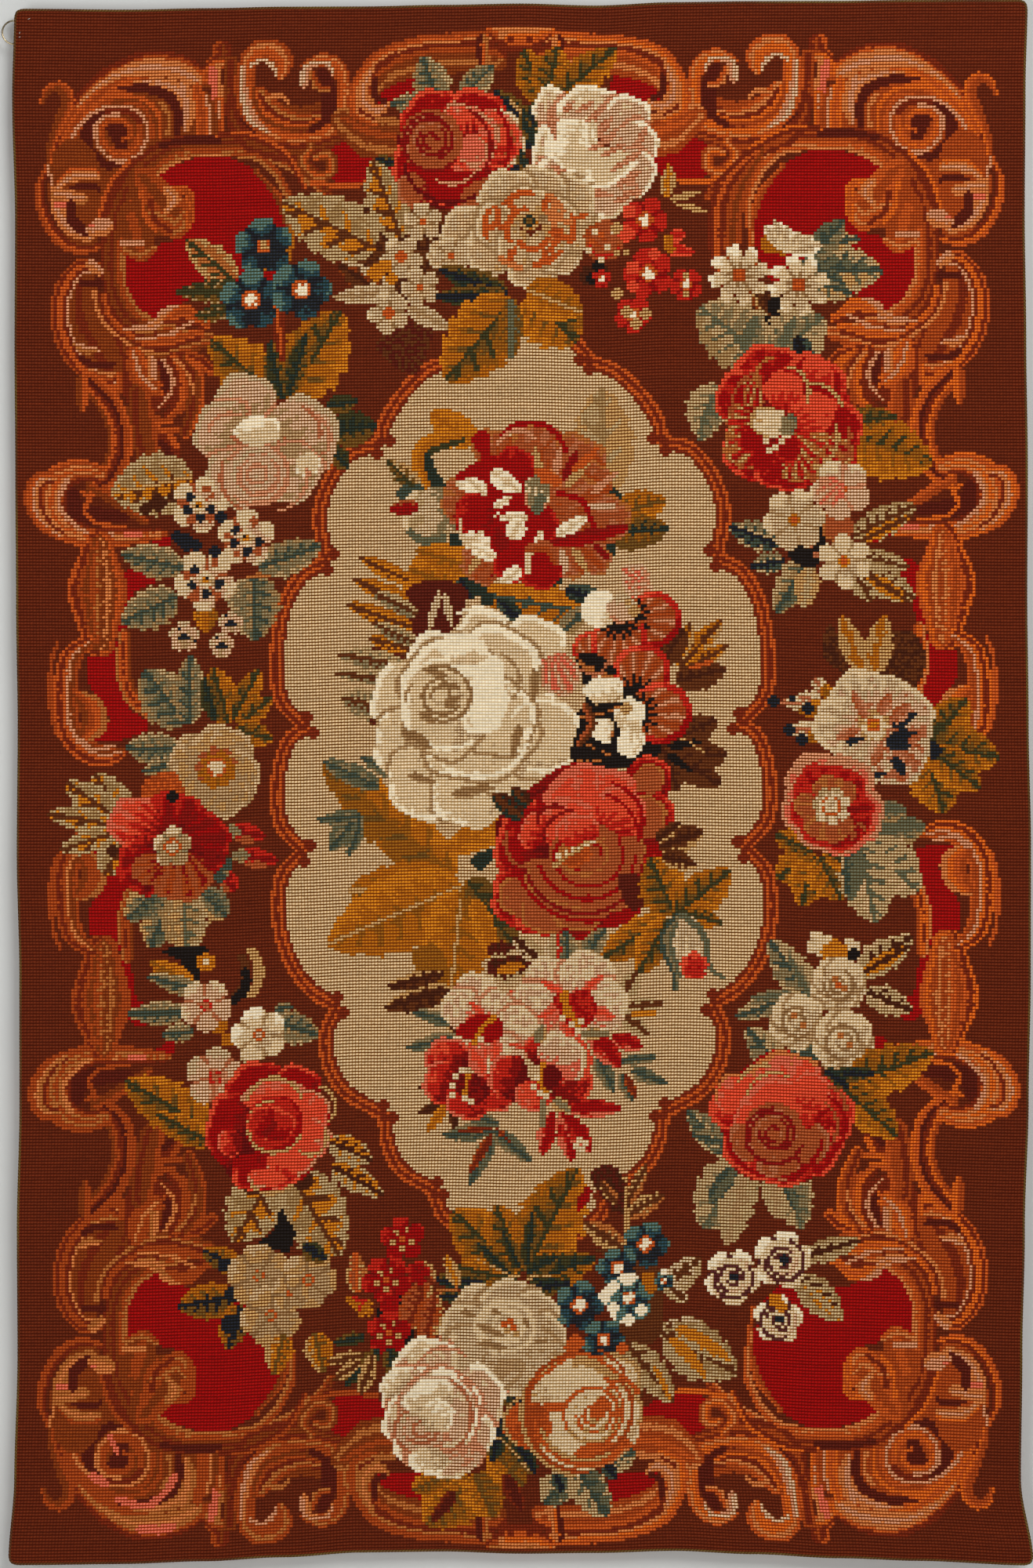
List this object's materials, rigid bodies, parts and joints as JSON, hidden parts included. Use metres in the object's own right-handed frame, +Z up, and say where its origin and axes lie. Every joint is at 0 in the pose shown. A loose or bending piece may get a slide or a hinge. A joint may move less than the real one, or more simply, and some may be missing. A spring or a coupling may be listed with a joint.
{
  "type": "cross-stitch embroidery wall hanging",
  "caption": "Wool cross-stitch panel with a cream medallion, roses and scrolls on maroon, hanging by its top edge, with a wire ring behind one corner.",
  "frame": {"origin": "middle of the top edge, half way through the cloth, where the hanging is held", "axes": "+Z up, +X to the right seen from the front, -Y out of the stitched face, +Y into the wall"},
  "size_m": [0.9206, 0.0145, 1.3962],
  "materials": {
    "wool_stitching": "matte wool cross-stitch in rows",
    "linen_canvas": "unbleached canvas with wool ends across the back",
    "sewing_thread": "white cotton sewing thread",
    "plated_wire": "bright plated wire, lightly tarnished"
  },
  "bodies": {
    "root": {"embroidery": "wool_stitching", "hanging_ring": "plated_wire"}
  },
  "joints": []
}
